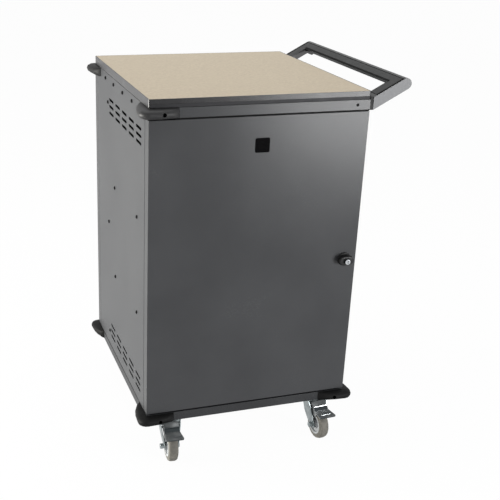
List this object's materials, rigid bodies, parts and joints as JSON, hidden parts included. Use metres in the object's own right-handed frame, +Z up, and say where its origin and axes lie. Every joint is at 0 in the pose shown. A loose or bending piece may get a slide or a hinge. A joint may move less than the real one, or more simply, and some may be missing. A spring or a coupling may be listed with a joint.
{
  "type": "laptop charging cart",
  "caption": "Steel storage cabinet on braked swivel casters with lockable front and rear doors, laptop divider racks, power strips, a laminate worktop and a push handle.",
  "frame": {"origin": "on the floor, under the middle of the cart's overall box", "axes": "+Z up, the front door faces -Y, the push handle is at +X"},
  "size_m": [0.658, 0.639, 0.944],
  "materials": {
    "painted_steel": "satin powder coat",
    "inner_steel": "satin powder coat",
    "laminate": "matt beige laminate on board",
    "edge_band": "satin",
    "black_rubber": "matt",
    "handle_paint": "satin",
    "handle_cover": "fine grain",
    "black_plastic": "satin",
    "grey_plastic": "satin",
    "grey_tyre": "matt",
    "zinc": "bright zinc plate",
    "chrome": "polished"
  },
  "bodies": {
    "cabinet": {"base_pan": "painted_steel", "caster_channel_front": "inner_steel", "caster_channel_rear": "inner_steel", "top_pan": "painted_steel", "left_side_panel": "painted_steel", "right_side_panel": "painted_steel", "power_inlet": "black_plastic", "worktop_board": "laminate", "worktop_edge_band": "edge_band", "rear_partition": "inner_steel", "upper_shelf": "inner_steel", "lower_shelf": "inner_steel", "base_divider_rack": "grey_plastic", "base_power_strip": "black_plastic", "lower_divider_rack": "grey_plastic", "lower_power_strip": "black_plastic", "upper_divider_rack": "grey_plastic", "upper_power_strip": "black_plastic", "base_bumper_front_left": "black_rubber", "base_bumper_front_right": "black_rubber", "base_bumper_rear_left": "black_rubber", "base_bumper_rear_right": "black_rubber", "top_bumper_front_left": "black_rubber", "top_bumper_rear_left": "black_rubber", "handle_shell": "handle_paint", "handle_cover": "handle_cover", "handle_bracket_front": "handle_cover", "handle_bracket_rear": "handle_cover", "front_lower_hinge_pin": "zinc", "front_upper_hinge_pin": "zinc", "rear_lower_hinge_pin": "zinc", "rear_upper_hinge_pin": "zinc", "caster_front_left_plate": "zinc", "caster_front_right_plate": "zinc", "caster_rear_left_plate": "zinc", "caster_rear_right_plate": "zinc"},
    "front_left_caster_fork": {"caster_front_left_fork": "zinc"},
    "front_left_wheel": {"caster_front_left_hub": "grey_plastic", "caster_front_left_tyre": "grey_tyre"},
    "front_left_brake_pedal": {"caster_front_left_brake_pedal": "zinc"},
    "front_right_caster_fork": {"caster_front_right_fork": "zinc"},
    "front_right_wheel": {"caster_front_right_hub": "grey_plastic", "caster_front_right_tyre": "grey_tyre"},
    "front_right_brake_pedal": {"caster_front_right_brake_pedal": "zinc"},
    "rear_left_caster_fork": {"caster_rear_left_fork": "zinc"},
    "rear_left_wheel": {"caster_rear_left_hub": "grey_plastic", "caster_rear_left_tyre": "grey_tyre"},
    "rear_right_caster_fork": {"caster_rear_right_fork": "zinc"},
    "rear_right_wheel": {"caster_rear_right_hub": "grey_plastic", "caster_rear_right_tyre": "grey_tyre"},
    "front_door": {"front_door": "painted_steel", "front_lock_rose": "black_plastic"},
    "front_lock": {"front_lock_knob": "black_plastic", "front_lock_plug": "chrome", "front_lock_cam": "zinc"},
    "rear_door": {"rear_door": "painted_steel", "rear_lock_rose": "black_plastic"},
    "rear_lock": {"rear_lock_knob": "black_plastic", "rear_lock_plug": "chrome", "rear_lock_cam": "zinc"}
  },
  "joints": [
    {"name": "front_door_hinge", "type": "hinge", "parent": "cabinet", "child": "front_door", "pos_m": [-0.29797, -0.25649, 0.5035], "axis": [0, 0, -1], "range_deg": [0, 180]},
    {"name": "front_lock_turn", "type": "hinge", "parent": "front_door", "child": "front_lock", "pos_m": [0.19403, -0.26649, 0.5035], "axis": [0, -1, 0], "range_deg": [0, 90]},
    {"name": "rear_door_hinge", "type": "hinge", "parent": "cabinet", "child": "rear_door", "pos_m": [0.21803, 0.28351, 0.5035], "axis": [0, 0, -1], "range_deg": [0, 180]},
    {"name": "rear_lock_turn", "type": "hinge", "parent": "rear_door", "child": "rear_lock", "pos_m": [-0.27397, 0.29351, 0.5035], "axis": [0, 1, 0], "range_deg": [0, 90]},
    {"name": "front_left_caster_swivel", "type": "hinge", "parent": "cabinet", "child": "front_left_caster_fork", "pos_m": [-0.23997, -0.23349, 0.113], "axis": [0, 0, 1], "continuous": true},
    {"name": "front_left_wheel_roll", "type": "hinge", "parent": "front_left_caster_fork", "child": "front_left_wheel", "pos_m": [-0.24248, -0.26941, 0.04], "axis": [0.9976, -0.0698, 0], "continuous": true},
    {"name": "front_left_brake_press", "type": "hinge", "parent": "front_left_caster_fork", "child": "front_left_brake_pedal", "pos_m": [-0.24122, -0.25145, 0.084], "axis": [0.9976, -0.0698, 0], "range_deg": [0, 6]},
    {"name": "front_right_caster_swivel", "type": "hinge", "parent": "cabinet", "child": "front_right_caster_fork", "pos_m": [0.16003, -0.23349, 0.113], "axis": [0, 0, 1], "continuous": true},
    {"name": "front_right_wheel_roll", "type": "hinge", "parent": "front_right_caster_fork", "child": "front_right_wheel", "pos_m": [0.16254, -0.26941, 0.04], "axis": [0.9976, 0.0698, 0], "continuous": true},
    {"name": "front_right_brake_press", "type": "hinge", "parent": "front_right_caster_fork", "child": "front_right_brake_pedal", "pos_m": [0.16129, -0.25145, 0.084], "axis": [0.9976, 0.0698, 0], "range_deg": [0, 6]},
    {"name": "rear_left_caster_swivel", "type": "hinge", "parent": "cabinet", "child": "rear_left_caster_fork", "pos_m": [-0.23997, 0.26051, 0.113], "axis": [0, 0, 1], "continuous": true},
    {"name": "rear_left_wheel_roll", "type": "hinge", "parent": "rear_left_caster_fork", "child": "rear_left_wheel", "pos_m": [-0.24248, 0.22459, 0.04], "axis": [0.9976, -0.0698, 0], "continuous": true},
    {"name": "rear_right_caster_swivel", "type": "hinge", "parent": "cabinet", "child": "rear_right_caster_fork", "pos_m": [0.16003, 0.26051, 0.113], "axis": [0, 0, 1], "continuous": true},
    {"name": "rear_right_wheel_roll", "type": "hinge", "parent": "rear_right_caster_fork", "child": "rear_right_wheel", "pos_m": [0.15752, 0.22459, 0.04], "axis": [0.9976, -0.0698, 0], "continuous": true}
  ]
}
